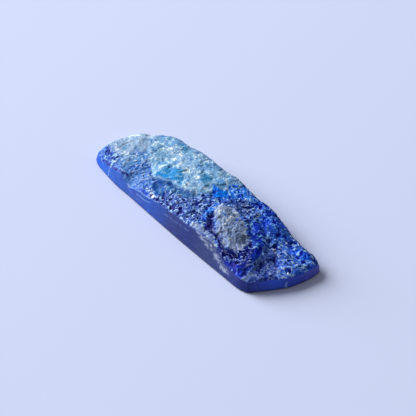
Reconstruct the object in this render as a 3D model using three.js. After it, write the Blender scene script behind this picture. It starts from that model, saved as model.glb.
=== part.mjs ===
// Raw azurite: one flat, elongated slab of azurite rock.
// The underside is sawn flat, and the front face and the right end are ground smooth. The top, the
// back and the left end are the stone's own broken surface, with a raised plate, a flake of
// calcite, ridges, chips and pits.
// Millimetres, +Z up. +X runs along the ground front face, and +Y from it towards the broken back.
// The origin is under the middle of the slab, on the surface that it rests on.

import * as THREE from 'three';

// Driving dimensions
const LENGTH = 39.3; // left tip to right end
const WIDTH = 12.8; // front face to broken back
const FACE_HEIGHT = 3.4; // the ground front face where it is tallest
const FRONT_LEAN = 0.27; // how far the front face leans in for each millimetre of height
const END_LEAN = 0.13; // the same for the ground right end
const FOOT_EASE = 0.25; // worn edge between the walls and the sawn underside
const CROWN = 0.25; // how far the middle of the top stands above a line from edge to edge
const ROUNDING = 0.25; // how far the broken back and left edges are rounded down
const ROUNDING_REACH = 0.6; // how far in from those edges the rounding is felt
const PLATE_STEP = 0.5; // height of the raised plate over the crack at its front
const FLAKE_STEP = 0.4; // height of the calcite flake
const EDGE_CALM = 0.9; // how far in from the ground walls the relief grows to its full height
const CALM_SHARE = 0.35; // share of the relief that is left at their top edge

// Number of quads along and across the top, and down the walls
const QUADS_ALONG = 88;
const QUADS_ACROSS = 32;
const WALL_ROWS = 4;

// Foot of the two ground walls, as shares of LENGTH and WIDTH: along the front face from the left
// tip to the near corner, and from there round the right end to the right tip
const NEAR_CORNER = [0.4245, -0.4];
const FRONT_FOOT = [
  [-0.492, -0.425], [-0.466, -0.457], [-0.42, -0.477], [-0.328, -0.498], [-0.237, -0.492],
  [-0.109, -0.488], [0.084, -0.478], [0.29, -0.453], [0.394, -0.434], NEAR_CORNER,
];
const END_FOOT = [
  NEAR_CORNER, [0.445, -0.289], [0.473, -0.113], [0.491, 0.016], [0.498, 0.172], [0.4985, 0.328],
  [0.491, 0.42],
];

// Height of the ground walls as [share along the side, share of FACE_HEIGHT]: the front by its
// place on LENGTH, with the dip of a chip near its left, and the end by its place on WIDTH
const FRONT_HEIGHTS = [
  [-0.48, 0.43], [-0.445, 0.41], [-0.413, 0.44], [-0.39, 0.52], [-0.35, 0.61], [-0.311, 0.66],
  [-0.291, 0.59], [-0.266, 0.46], [-0.246, 0.41], [-0.195, 0.56], [-0.137, 0.64], [-0.087, 0.77],
  [-0.042, 0.81], [0.007, 0.89], [0.115, 0.96], [0.155, 0.99], [0.205, 1], [0.226, 0.97],
  [0.274, 0.79], [0.304, 0.6], [0.332, 0.535], [0.356, 0.47], [0.425, 0.485],
];
const END_HEIGHTS = [
  [-0.4, 0.485], [-0.24, 0.49], [-0.07, 0.51], [0.09, 0.45], [0.31, 0.44], [0.41, 0.35],
];

// The share of the front's heights that is only a rise and a chip of its top edge, and how far in from
// the front face it is felt, in millimetres
const EDGE_ONLY = [[-0.45, 0], [-0.39, 0.02], [-0.311, 0.12], [-0.246, -0.09], [-0.195, 0]];
const EDGE_REACH = 1.2;

// Top edge of the broken sides between the ends of the ground walls, as shares of LENGTH, WIDTH
// and FACE_HEIGHT: the left end up to the shoulder where the back starts, and the back from there
const SHOULDER = [-0.4325, 0.205, 0.74];
const SHOULDER_FOOT = [-0.437, 0.222];
const LEFT_EDGE = [
  [-0.4925, -0.32, 0.54], [-0.4955, -0.2, 0.6], [-0.485, -0.06, 0.67], [-0.469, 0.095, 0.72],
  [-0.454, 0.17, 0.73],
];
const BACK_EDGE = [
  [-0.394, 0.215, 0.82], [-0.364, 0.315, 0.95], [-0.328, 0.385, 1], [-0.262, 0.392, 0.98],
  [-0.209, 0.435, 0.95], [-0.168, 0.448, 0.94], [-0.071, 0.446, 0.92], [0.008, 0.48, 0.93],
  [0.074, 0.475, 0.94], [0.137, 0.468, 0.92], [0.172, 0.488, 0.84], [0.237, 0.488, 0.75],
  [0.293, 0.467, 0.68], [0.341, 0.432, 0.62], [0.379, 0.425, 0.59], [0.433, 0.436, 0.53],
  [0.47, 0.432, 0.44],
];

// The crack at the front of the raised plate, as points [x, y] in millimetres, and how much of
// PLATE_STEP the plate stands up over it, as [x, share]
const CRACK = {
  path: [
    [-16, 2.6], [-15.2, 1.1], [-14, 0.1], [-12.2, -0.75], [-10, -1.95], [-8.2, -2.8], [-6.4, -2.45],
    [-5.2, -2], [-3.9, -1.75], [-2.5, -1.55], [-1.4, -1.25], [0, -0.7], [0.9, -0.1], [1.9, 0.6],
    [2.6, 2.2], [3.4, 4.25], [5.2, 6.1],
  ],
  half: 0.22, // half its width
  depth: 0.28,
  opens: [6, 8.5], // from here to here along x from its left end, it gets its full depth
  closes: [6, 4], // and loses it from here to here before its right end
};
const PLATE = {
  rise: [
    [-16, 0.05], [-12, 0.1], [-9.5, 0.4], [-8, 0.75], [-6, 0.85], [-1.5, 0.85], [0.2, 0.6],
    [1.2, 0.25], [2.5, 0.1], [5.2, 0.05],
  ],
  slope: 0.5, // width of the slope up from the crack to the plate
  fades: [0.5, 1.2], // reach of its fade at its left and its right end
};

// The calcite flake: an ellipse in millimetres, with its turn in degrees, the share of its radius
// that its steep edge takes, and how ragged its outline is
const FLAKE = { middle: [7.3, -0.4], half: [4.2, 2.1], turn: -18, edge: 0.16, ragged: 0.12, cell: 0.8 };

// Lumps and hollows of the broken top, in millimetres: middle, half length and half width, turn in
// degrees, and height over the top (a hollow's is negative)
const LUMPS = [
  { middle: [-7.2, -0.8], half: [1.6, 1.1], turn: -30, height: -0.16 }, // pocket at the plate's corner
  { middle: [-5.6, -3.8], half: [1.8, 1.1], turn: -40, height: -0.22 }, // smooth scoop under the crack
  { middle: [-6, -6], half: [1.4, 0.8], turn: 0, height: -0.45 }, // chip out of the front edge
  { middle: [-9.4, -6.2], half: [1.6, 0.9], turn: 0, height: -0.12 }, // shallow chip beside it
  { middle: [5.6, 3.3], half: [3, 1.3], turn: 20, height: -0.3 }, // hollow behind the flake
  { middle: [13.6, -3.7], half: [1.9, 1.3], turn: -35, height: 0.32 }, // lump near the corner
  { middle: [12.3, -3.4], half: [0.7, 0.5], turn: 20, height: -0.4 }, // pit beside the lump
  { middle: [15.9, -1.6], half: [1.9, 2.6], turn: 15, height: -0.22 }, // hollow by the right end
  { middle: [13.9, 1.8], half: [0.45, 0.45], turn: 0, height: -0.3 }, // small deep pit
  { middle: [17, 4], half: [1.7, 1.2], turn: 20, height: 0.22 }, // knob by the right tip
  { middle: [10.4, 4.4], half: [2.6, 1.2], turn: -12, height: 0.2 }, // swell along the back
  { middle: [-16.6, 0.2], half: [1.5, 2.4], turn: 10, height: 0.18 }, // swell at the left end
];

// Ridges and gullies that follow a path, in millimetres: the reach on each side, and the height
const RIDGES = [
  { path: [[8.3, 2.3], [9.8, 1.6], [12.5, 0.7], [13.3, -0.9], [13.9, -2.1]], reach: 1.1, height: 0.3 },
  { path: [[3.4, -4.6], [6.4, -4.1], [9.1, -4.5], [11.4, -5.4]], reach: 0.75, height: 0.18 },
  { path: [[4.3, -1.7], [5.6, -2.9], [7.4, -3.6], [9.8, -3.8]], reach: 0.75, height: -0.45 },
  { path: [[10.6, 2.3], [13.2, 1.6], [14.1, 0.4]], reach: 0.5, height: -0.2 },
];

// Broken grain: cells with a level and a tilt of their own, on the top and on the broken walls. The
// weathered left part of the top is calmer than the rest.
const GRAIN = [
  { cell: 2.1, height: 0.2, seed: 3 },
  { cell: 1, height: 0.11, seed: 11 },
];
const LEVEL_SHARE = 0.6; // how much of a cell's height is its level
const TILT_SHARE = 0.9; // and how much its tilt gives, a whole cell out from its middle
const WEATHERED = { from: -9, to: 1, share: 0.4 }; // along x, and the share of the grain left there
const FLAKE_SEED = 31;
const WALL_GRAIN = { cell: 1.6, height: 0.42, seed: 23 };
const CORNER_FADE = 3; // quads over which a ground wall turns into its neighbour

const mix = THREE.MathUtils.lerp;
const smoothstep = THREE.MathUtils.smoothstep;

// A fixed scatter value from 0 to 1 for whole numbers i, j and a seed
function scatter(i, j, seed) {
  const wave = Math.sin(i * 127.1 + j * 311.7 + seed * 74.7) * 43758.5453;
  return wave - Math.floor(wave);
}

// Height of broken grain at (x, y): the level of the nearest scattered point, plus that point's own
// tilt, which leaves small flat facets with steps between them. About -1 to 1.
function facets(x, y, cell, seed) {
  const column = Math.floor(x / cell);
  const row = Math.floor(y / cell);
  let nearest = Infinity;
  let height = 0;
  for (let i = column - 1; i <= column + 1; i += 1) {
    for (let j = row - 1; j <= row + 1; j += 1) {
      const dx = x / cell - (i + scatter(i, j, seed));
      const dy = y / cell - (j + scatter(i, j, seed + 1));
      const distance = dx * dx + dy * dy;
      if (distance < nearest) {
        nearest = distance;
        const level = scatter(i, j, seed + 2) * 2 - 1;
        const tiltX = scatter(i, j, seed + 3) * 2 - 1;
        const tiltY = scatter(i, j, seed + 4) * 2 - 1;
        height = LEVEL_SHARE * level + TILT_SHARE * (tiltX * dx + tiltY * dy);
      }
    }
  }
  return height;
}

// Value at x on a broken line through [x, value] points, held level past its ends
function along(points, x) {
  if (x <= points[0][0]) return points[0][1];
  for (let i = 1; i < points.length; i += 1) {
    const [x0, y0] = points[i - 1];
    const [x1, y1] = points[i];
    if (x <= x1) return mix(y0, y1, (x - x0) / (x1 - x0));
  }
  return points[points.length - 1][1];
}

// Distance from (x, y) to a broken line
function distanceTo(path, x, y) {
  const point = new THREE.Vector3(x, y, 0);
  const nearest = new THREE.Vector3();
  const stretch = new THREE.Line3();
  let distance = Infinity;
  for (let i = 1; i < path.length; i += 1) {
    stretch.start.set(path[i - 1][0], path[i - 1][1], 0);
    stretch.end.set(path[i][0], path[i][1], 0);
    stretch.closestPointToPoint(point, true, nearest);
    distance = Math.min(distance, nearest.distanceTo(point));
  }
  return distance;
}

// How far out (x, y) lies in an ellipse: 0 at its middle and 1 on its rim
function outInEllipse({ middle, half, turn }, x, y) {
  const angle = THREE.MathUtils.degToRad(turn);
  const dx = x - middle[0];
  const dy = y - middle[1];
  const a = (dx * Math.cos(angle) + dy * Math.sin(angle)) / half[0];
  const b = (dy * Math.cos(angle) - dx * Math.sin(angle)) / half[1];
  return Math.hypot(a, b);
}

// The raised plate, with the crack that runs along its foot
function plateHeight(x, y) {
  const start = CRACK.path[0][0];
  const finish = CRACK.path[CRACK.path.length - 1][0];
  const [fadeLeft, fadeRight] = PLATE.fades;
  const begun = smoothstep(x, start - fadeLeft, start + fadeLeft);
  const ended = smoothstep(x, finish, finish + fadeRight);
  const climbed = smoothstep(y - along(CRACK.path, x), 0, PLATE.slope);
  const fromCrack = distanceTo(CRACK.path, x, y) / CRACK.half;
  const opened = smoothstep(x, start + CRACK.opens[0], start + CRACK.opens[1]);
  const closed = smoothstep(x, finish - CRACK.closes[0], finish - CRACK.closes[1]);
  const step = PLATE_STEP * along(PLATE.rise, x) * climbed * begun * (1 - ended);
  return step - CRACK.depth * Math.exp(-fromCrack * fromCrack) * opened * (1 - closed);
}

// The calcite flake, which stands up with a steep ragged edge
function flakeHeight(x, y) {
  const ragged = FLAKE.ragged * facets(x, y, FLAKE.cell, FLAKE_SEED);
  return FLAKE_STEP * (1 - smoothstep(outInEllipse(FLAKE, x, y) + ragged, 1 - FLAKE.edge, 1));
}

// Height that the forms and the grain add to the top at (x, y)
function relief(x, y) {
  let height = plateHeight(x, y) + flakeHeight(x, y);
  for (const lump of LUMPS) {
    const out = Math.min(outInEllipse(lump, x, y), 1);
    height += lump.height * (1 - out * out) ** 1.5;
  }
  for (const ridge of RIDGES) {
    const out = Math.min(distanceTo(ridge.path, x, y) / ridge.reach, 1);
    height += ridge.height * (1 - out * out) ** 2;
  }
  const coarse = mix(WEATHERED.share, 1, smoothstep(x, WEATHERED.from, WEATHERED.to));
  for (const grain of GRAIN) height += coarse * grain.height * facets(x, y, grain.cell, grain.seed);
  return height;
}

// The point at these shares of the stone's length, width and face height
function place([along, across, up = 0]) {
  return new THREE.Vector3(along * LENGTH, across * WIDTH, up * FACE_HEIGHT);
}

// Points spaced evenly along a smooth curve through a side's knots
function sideThrough(knots, pieces) {
  return new THREE.CatmullRomCurve3(knots, false, 'centripetal').getSpacedPoints(pieces);
}

// Unit vector out of the stone at point k of a line of points that runs anticlockwise round it
function outwardAt(points, k) {
  const before = points[Math.max(k - 1, 0)];
  const after = points[Math.min(k + 1, points.length - 1)];
  const run = after.clone().sub(before).setZ(0).normalize();
  return new THREE.Vector3(run.y, -run.x, 0);
}

// The four sides of the stone, each with its top edge and its foot. The ground walls rise from
// their foot with a steady lean. Under the broken edges the foot stands out by what it does at the
// two ends of that side.
function stoneSides() {
  const groundFoot = [
    ...sideThrough(FRONT_FOOT.map(place), QUADS_ALONG),
    ...sideThrough(END_FOOT.map(place), QUADS_ACROSS).slice(1),
  ];
  const groundTop = groundFoot.map((foot, k) => {
    const onFront = k <= QUADS_ALONG;
    const share = onFront ? along(FRONT_HEIGHTS, foot.x / LENGTH) : along(END_HEIGHTS, foot.y / WIDTH);
    const pastCorner = smoothstep(k, QUADS_ALONG - CORNER_FADE, QUADS_ALONG + CORNER_FADE);
    const lean = mix(FRONT_LEAN, END_LEAN, pastCorner);
    const height = share * FACE_HEIGHT;
    return foot.clone().addScaledVector(outwardAt(groundFoot, k), -lean * height).setZ(height);
  });
  const front = { top: groundTop.slice(0, QUADS_ALONG + 1), foot: groundFoot.slice(0, QUADS_ALONG + 1) };
  const end = { top: groundTop.slice(QUADS_ALONG), foot: groundFoot.slice(QUADS_ALONG) };

  const broken = (topKnots, footAtStart, footAtEnd, pieces) => {
    const top = sideThrough(topKnots, pieces);
    const outAtStart = footAtStart.clone().sub(top[0]);
    const outAtEnd = footAtEnd.clone().sub(top[pieces]);
    const out = (k) => outAtStart.clone().lerp(outAtEnd, k / pieces);
    const foot = top.map((point, k) => point.clone().add(out(k)).setZ(0));
    return { top, foot };
  };
  const shoulder = place(SHOULDER);
  const shoulderFoot = place(SHOULDER_FOOT);
  const leftKnots = [front.top[0], ...LEFT_EDGE.map(place), shoulder];
  const backKnots = [shoulder, ...BACK_EDGE.map(place), end.top[QUADS_ACROSS]];
  const left = broken(leftKnots, front.foot[0], shoulderFoot, QUADS_ACROSS);
  const back = broken(backKnots, shoulderFoot, end.foot[QUADS_ACROSS], QUADS_ALONG);
  return { front, end, back, left };
}

// Patch between the four top edges: the surface spanned by the front and the back, plus the one
// spanned by the left and the right end, less the one spanned by the corners
function patchPoint({ front, end, back, left }, i, j) {
  const u = i / QUADS_ALONG;
  const v = j / QUADS_ACROSS;
  const across = front.top[i].clone().lerp(back.top[i], v);
  const lengthwise = left.top[j].clone().lerp(end.top[j], u);
  const nearCorners = front.top[0].clone().lerp(front.top[QUADS_ALONG], u);
  const farCorners = back.top[0].clone().lerp(back.top[QUADS_ALONG], u);
  return across.add(lengthwise).sub(nearCorners.lerp(farCorners, v));
}

// Top surface as rows of points, from the front edge to the back edge
function topSurface(sides) {
  const rows = [];
  for (let j = 0; j <= QUADS_ACROSS; j += 1) {
    const row = [];
    for (let i = 0; i <= QUADS_ALONG; i += 1) {
      const point = patchPoint(sides, i, j);
      const u = i / QUADS_ALONG;
      const v = j / QUADS_ACROSS;
      const fromBroken = Math.min((1 - v) * WIDTH, u * LENGTH);
      const fromGround = Math.min(v * WIDTH, (1 - u) * LENGTH);
      const calm = mix(CALM_SHARE, 1, smoothstep(fromGround, 0, EDGE_CALM));
      const edgeOnly = along(EDGE_ONLY, sides.front.foot[i].x / LENGTH) * FACE_HEIGHT;
      point.z += edgeOnly * (Math.exp(-((v * WIDTH / EDGE_REACH) ** 2)) - (1 - v));
      point.z += CROWN * Math.sin(Math.PI * v) * Math.sin(Math.PI * u);
      point.z += ROUNDING * (1 - Math.exp(-fromBroken / ROUNDING_REACH)) * calm;
      point.z += relief(point.x, point.y) * calm;
      row.push(point);
    }
    rows.push(row);
  }
  return rows;
}

// The points round the edge of a grid of rows, anticlockwise seen from above
function rim(rows) {
  const last = rows.length - 1;
  const end = rows[0].length - 1;
  return [
    ...rows[0].slice(0, end),
    ...rows.slice(0, last).map((row) => row[end]),
    ...rows[last].slice(1).reverse(),
    ...rows.slice(1).reverse().map((row) => row[0]),
  ];
}

// The foot of all four sides in the same order
function footRing({ front, end, back, left }) {
  return [
    ...front.foot.slice(0, -1), ...end.foot.slice(0, -1),
    ...back.foot.slice(1).reverse(), ...left.foot.slice(1).reverse(),
  ];
}

// Walls as rings of points from under the rim down to the underside. Those of the broken sides,
// the second half of each ring, are uneven between their top edge and their foot.
function wallRings(top, foot) {
  const ground = QUADS_ALONG + QUADS_ACROSS;
  const rings = [];
  for (let row = 1; row < WALL_ROWS; row += 1) {
    const down = row / (WALL_ROWS - 1);
    rings.push(top.map((point, k) => {
      const onWall = point.clone().lerp(foot[k].clone().setZ(FOOT_EASE), down);
      const pastGround = Math.min(k - ground, top.length - k) / CORNER_FADE;
      const broken = THREE.MathUtils.clamp(pastGround, 0, 1);
      const around = k * (LENGTH / QUADS_ALONG);
      const grain = Math.abs(facets(around, onWall.z, WALL_GRAIN.cell, WALL_GRAIN.seed));
      const inset = WALL_GRAIN.height * grain * broken * Math.sin(Math.PI * down);
      return onWall.addScaledVector(outwardAt(foot, k), -inset);
    }));
  }
  rings.push(foot.map((point, k) => point.clone().addScaledVector(outwardAt(foot, k), -FOOT_EASE)));
  return rings;
}

// One closed surface: the top grid, the rings of the walls, and the flat underside
function stoneGeometry() {
  const sides = stoneSides();
  const rows = topSurface(sides);
  const topRim = rim(rows);
  const rings = [topRim, ...wallRings(topRim, footRing(sides))];

  const points = [...rows.flat(), ...rings.slice(1).flat()];
  const number = new Map(points.map((point, k) => [point, k]));
  const faces = [];
  const quad = (corners) => {
    const [a, b, c, d] = corners.map((corner) => number.get(corner));
    faces.push(a, b, c, a, c, d);
  };
  for (let j = 0; j < QUADS_ACROSS; j += 1) {
    for (let i = 0; i < QUADS_ALONG; i += 1) {
      quad([rows[j][i], rows[j][i + 1], rows[j + 1][i + 1], rows[j + 1][i]]);
    }
  }
  for (let r = 1; r < rings.length; r += 1) {
    const upper = rings[r - 1];
    const lower = rings[r];
    for (let k = 0; k < upper.length; k += 1) {
      const next = (k + 1) % upper.length;
      quad([lower[k], lower[next], upper[next], upper[k]]);
    }
  }
  const underside = rings[rings.length - 1];
  const outline = underside.map((point) => new THREE.Vector2(point.x, point.y));
  for (const [a, b, c] of THREE.ShapeUtils.triangulateShape(outline, [])) {
    faces.push(number.get(underside[a]), number.get(underside[c]), number.get(underside[b]));
  }

  const geometry = new THREE.BufferGeometry().setFromPoints(points);
  geometry.setIndex(faces);
  geometry.computeVertexNormals();
  return geometry;
}

const azurite = new THREE.MeshStandardMaterial({ color: '#2c4fb0', roughness: 0.6, metalness: 0 });
const slab = new THREE.Mesh(stoneGeometry(), azurite);
slab.name = 'azurite_slab';

const group = new THREE.Group();
group.add(slab);

export default group;
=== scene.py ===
# Raw azurite, dressed: one slab of azurite rock that lies on a pale table.
# Sizes are in millimetres, in the frame of the stone's solid: +X runs along the ground front face, +Y from
# it towards the broken back, and +Z up out of the broken top.

import math

import bpy
import numpy as np
from mathutils import Matrix, Vector


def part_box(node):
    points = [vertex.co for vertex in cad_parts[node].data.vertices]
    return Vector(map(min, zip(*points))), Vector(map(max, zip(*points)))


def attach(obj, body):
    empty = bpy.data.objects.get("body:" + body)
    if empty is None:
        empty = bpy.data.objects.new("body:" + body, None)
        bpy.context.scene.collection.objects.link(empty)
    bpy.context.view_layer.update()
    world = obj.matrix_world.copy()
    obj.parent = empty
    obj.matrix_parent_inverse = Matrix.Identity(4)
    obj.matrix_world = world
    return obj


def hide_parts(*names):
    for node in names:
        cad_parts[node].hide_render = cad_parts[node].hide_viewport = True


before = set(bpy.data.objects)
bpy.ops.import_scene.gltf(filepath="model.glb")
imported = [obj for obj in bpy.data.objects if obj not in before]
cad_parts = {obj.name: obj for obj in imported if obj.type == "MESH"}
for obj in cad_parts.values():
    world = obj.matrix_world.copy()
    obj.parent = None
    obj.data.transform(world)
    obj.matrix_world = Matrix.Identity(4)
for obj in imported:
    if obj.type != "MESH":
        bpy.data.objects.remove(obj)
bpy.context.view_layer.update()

MM = 0.001

# The camera: close to the stone, in front of its ground face and off to the right, looking down at it.
# Its lens is long, as one for small things on a table is, so the far end looks only a little smaller.
CAMERA_AZIMUTH = 53.3
CAMERA_ELEVATION = 40
CAMERA_DISTANCE = 210
CAMERA_TARGET = (-0.67, 1.36, 0)
PICTURE_SIDE = 416  # pixels
PIXELS_PER_MM = 7  # at the target
SENSOR_WIDTH = 36


def viewed_from(azimuth, elevation):
    """Unit vector towards an eye at this azimuth and elevation in degrees: azimuth 0 is on the -Y side."""
    turn = math.radians(azimuth)
    rise = math.radians(elevation)
    return Vector((math.sin(turn) * math.cos(rise), -math.cos(turn) * math.cos(rise), math.sin(rise)))


def aim(thing, place, target):
    """Stands a camera or a light at place, turned so that its own -Z axis looks at target, with +Y up."""
    look = (Vector(target) - Vector(place)).normalized()
    thing.matrix_world = Matrix.Translation(place) @ look.to_track_quat("-Z", "Y").to_matrix().to_4x4()


lens = bpy.data.cameras.new("camera")
lens.sensor_width = SENSOR_WIDTH
lens.lens = SENSOR_WIDTH * PIXELS_PER_MM * CAMERA_DISTANCE / PICTURE_SIDE
lens.clip_start = 0.01
camera = bpy.data.objects.new("camera", lens)
bpy.context.scene.collection.objects.link(camera)
camera_target = Vector(CAMERA_TARGET) * MM
camera_place = camera_target + viewed_from(CAMERA_AZIMUTH, CAMERA_ELEVATION) * CAMERA_DISTANCE * MM
aim(camera, camera_place, camera_target)
bpy.context.scene.camera = camera

# The slab: azurite, a blue copper carbonate that is mostly fine crystal grains here, with calcite among
# them. The underside was sawn and the front and right end ground smooth, and the rest is as it broke.
# Its forms are those of the solid, carried on down to grains of a fraction of a millimetre.
box_low, box_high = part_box("azurite_slab")
LENGTH = round((box_high.x - box_low.x) / MM, 1)
WIDTH = round((box_high.y - box_low.y) / MM, 1)
FACE_HEIGHT = 3.4  # the ground front face where it is tallest
FRONT_LEAN = 0.27  # how far the front face leans in for each millimetre of height
END_LEAN = 0.13

# The solid has 88 by 32 quads on its top. Here each is cut into 5 by 5, about 0.09 mm wide.
FINER = 5
ALONG = 88 * FINER
ACROSS = 32 * FINER
CORNER_FADE = 3 * FINER  # corners over which a ground wall turns into its neighbour

# The outline, as shares of LENGTH and WIDTH, and of FACE_HEIGHT where there is a third number. The heights
# of the ground walls are shares of FACE_HEIGHT, by their place on LENGTH or WIDTH.
NEAR_CORNER = (0.4245, -0.4)
FRONT_FOOT = [
    (-0.492, -0.425), (-0.466, -0.457), (-0.42, -0.477), (-0.328, -0.498), (-0.237, -0.492),
    (-0.109, -0.488), (0.084, -0.478), (0.29, -0.453), (0.394, -0.434), NEAR_CORNER,
]
END_FOOT = [
    NEAR_CORNER, (0.445, -0.289), (0.473, -0.113), (0.491, 0.016), (0.498, 0.172), (0.4985, 0.328),
    (0.491, 0.42),
]
FRONT_HEIGHTS = [
    (-0.48, 0.43), (-0.445, 0.41), (-0.413, 0.44), (-0.39, 0.52), (-0.35, 0.61), (-0.311, 0.66),
    (-0.291, 0.59), (-0.266, 0.46), (-0.246, 0.41), (-0.195, 0.56), (-0.137, 0.64), (-0.087, 0.77),
    (-0.042, 0.81), (0.007, 0.89), (0.115, 0.96), (0.155, 0.99), (0.205, 1), (0.226, 0.97),
    (0.274, 0.79), (0.304, 0.6), (0.332, 0.535), (0.356, 0.47), (0.425, 0.485),
]
END_HEIGHTS = [
    (-0.4, 0.485), (-0.24, 0.49), (-0.07, 0.51), (0.09, 0.45), (0.31, 0.44), (0.41, 0.35),
]
SHOULDER = (-0.4325, 0.205, 0.74)
SHOULDER_FOOT = (-0.437, 0.222, 0)
LEFT_EDGE = [
    (-0.4925, -0.32, 0.54), (-0.4955, -0.2, 0.6), (-0.485, -0.06, 0.67), (-0.469, 0.095, 0.72),
    (-0.454, 0.17, 0.73), SHOULDER,
]
BACK_EDGE = [
    SHOULDER, (-0.394, 0.215, 0.82), (-0.364, 0.315, 0.95), (-0.328, 0.385, 1),
    (-0.262, 0.392, 0.98), (-0.209, 0.435, 0.95), (-0.168, 0.448, 0.94), (-0.071, 0.446, 0.92),
    (0.008, 0.48, 0.93), (0.074, 0.475, 0.94), (0.137, 0.468, 0.92), (0.172, 0.488, 0.84),
    (0.237, 0.488, 0.75), (0.293, 0.467, 0.68), (0.341, 0.432, 0.62), (0.379, 0.425, 0.59),
    (0.433, 0.436, 0.53), (0.47, 0.432, 0.44),
]


def smoothstep(value, start, finish):
    """0 before start, 1 past finish, and between them t * t * (3 - 2 * t), t being the share of the way."""
    share = np.clip((value - start) / (finish - start), 0, 1)
    return share * share * (3 - 2 * share)


def mix(a, b, share):
    """a where share is 0, b where it is 1, and in step with it between."""
    return a + (b - a) * share


def along(points, value):
    """Value on a broken line through (place, value) points, held level past its ends."""
    places, values = np.array(points, float).T
    return np.interp(value, places, values)


CURVE_STEPS = 40  # points between two knots, before they are spaced evenly


def smooth_line(knots, pieces):
    """Evenly spaced points along a curve through the knots. Between two knots it is a cubic in t with the
    knots' own slopes, which come from the knots on both sides, each gap weighed by the square root of its
    length. np.interp then spaces the points by distance."""
    inner = np.array(knots, float)
    knots = np.vstack([2 * inner[:1] - inner[1:2], inner, 2 * inner[-1:] - inner[-2:-1]])
    gap = np.sqrt(np.linalg.norm(np.diff(knots, axis=0), axis=1))[:, None]
    p0, p1, p2, p3 = knots[:-3], knots[1:-2], knots[2:-1], knots[3:]
    d0, d1, d2 = gap[:-2], gap[1:-1], gap[2:]
    slope1 = ((p1 - p0) / d0 - (p2 - p0) / (d0 + d1) + (p2 - p1) / d1) * d1
    slope2 = ((p2 - p1) / d1 - (p3 - p1) / (d1 + d2) + (p3 - p2) / d2) * d1
    t = np.linspace(0, 1, CURVE_STEPS, endpoint=False)[None, :, None]
    p1, p2, slope1, slope2 = (part[:, None, :] for part in (p1, p2, slope1, slope2))
    curve = p1 + slope1 * t + (3 * (p2 - p1) - 2 * slope1 - slope2) * t ** 2
    curve += (2 * (p1 - p2) + slope1 + slope2) * t ** 3
    points = np.vstack([curve.reshape(-1, inner.shape[1]), inner[-1:]])
    run = np.concatenate([[0], np.cumsum(np.linalg.norm(np.diff(points, axis=0), axis=1))])
    places = np.linspace(0, run[-1], pieces + 1)
    return np.stack([np.interp(places, run, part) for part in points.T], axis=1)


def outward(points):
    """Unit vectors out of the stone along a line that runs anticlockwise round it: its direction, taken
    over one quad of the solid to each side, turned by a quarter to the right."""
    number = np.arange(len(points))
    after = points[np.minimum(number + FINER, len(points) - 1)]
    before = points[np.maximum(number - FINER, 0)]
    run = after - before
    run[:, 2] = 0
    run /= np.linalg.norm(run, axis=1, keepdims=True)
    return np.stack([run[:, 1], -run[:, 0], 0 * run[:, 0]], axis=1)


def placed(shares):
    """Points in millimetres from shares of the length, the width and, if given, the face height."""
    points = np.array([(tuple(share) + (0,))[:3] for share in shares], float)
    return points * (LENGTH, WIDTH, FACE_HEIGHT)


# The outline: the ground walls rise from their foot with a steady lean. Under the broken edges the foot
# stands out by what it does at the two ends of that side, blended along it.
ground_foot = np.vstack([
    smooth_line(placed(FRONT_FOOT), ALONG),
    smooth_line(placed(END_FOOT), ACROSS)[1:],
])
number = np.arange(len(ground_foot))
front_share = along(FRONT_HEIGHTS, ground_foot[:, 0] / LENGTH)
end_share = along(END_HEIGHTS, ground_foot[:, 1] / WIDTH)
ground_height = np.where(number <= ALONG, front_share, end_share) * FACE_HEIGHT
past_corner = smoothstep(number, ALONG - CORNER_FADE, ALONG + CORNER_FADE)
lean = mix(FRONT_LEAN, END_LEAN, past_corner) * ground_height
ground_top = ground_foot - outward(ground_foot) * lean[:, None]
ground_top[:, 2] = ground_height

front_top, front_foot = ground_top[:ALONG + 1], ground_foot[:ALONG + 1]
end_top, end_foot = ground_top[ALONG:], ground_foot[ALONG:]


def broken_side(knots, foot_at_start, foot_at_end, pieces):
    """Top edge and foot of a broken side. The foot is the edge, brought down to 0 and moved out by the
    offset at each end, blended in step from the one to the other."""
    top = smooth_line(knots, pieces)
    share = np.linspace(0, 1, pieces + 1)[:, None]
    foot = top + mix(foot_at_start - top[0], foot_at_end - top[-1], share)
    foot[:, 2] = 0
    return top, foot


shoulder_foot = placed([SHOULDER_FOOT])[0]
left_top, left_foot = broken_side(
    np.vstack([front_top[:1], placed(LEFT_EDGE)]), front_foot[0], shoulder_foot, ACROSS)
back_top, back_foot = broken_side(
    np.vstack([placed(BACK_EDGE), end_top[-1:]]), shoulder_foot, end_foot[-1], ALONG)


def patch(front, end, back, left, u, v):
    """The surface spanned by four edges: the one between front and back, plus the one between left and
    right end, less the one between the corners. u runs along and v across, 0 to 1."""
    u = u[None, :, None]
    v = v[:, None, None]
    across = mix(front[None], back[None], v)
    lengthwise = mix(left[:, None], end[:, None], u)
    corners = mix(mix(front[0], front[-1], u), mix(back[0], back[-1], u), v)
    return across + lengthwise - corners


# The forms of the broken top, in millimetres
PLATE_STEP = 0.5  # height of the raised plate over the crack at its front
CRACK = [
    (-16, 2.6), (-15.2, 1.1), (-14, 0.1), (-12.2, -0.75), (-10, -1.95), (-8.2, -2.8), (-6.4, -2.45),
    (-5.2, -2), (-3.9, -1.75), (-2.5, -1.55), (-1.4, -1.25), (0, -0.7), (0.9, -0.1), (1.9, 0.6),
    (2.6, 2.2), (3.4, 4.25), (5.2, 6.1),
]
CRACK_HALF = 0.22
CRACK_DEPTH = 0.28
PLATE_RISE = [
    (-16, 0.05), (-12, 0.1), (-9.5, 0.4), (-8, 0.75), (-6, 0.85), (-1.5, 0.85), (0.2, 0.6),
    (1.2, 0.25), (2.5, 0.1), (5.2, 0.05),
]
PLATE_SLOPE = 0.5
PLATE_FADES = (0.5, 1.2)  # past its left and its right end
CRACK_OPENS = (6, 8.5)  # from here to here along x from its left end, it gets its full depth
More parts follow.
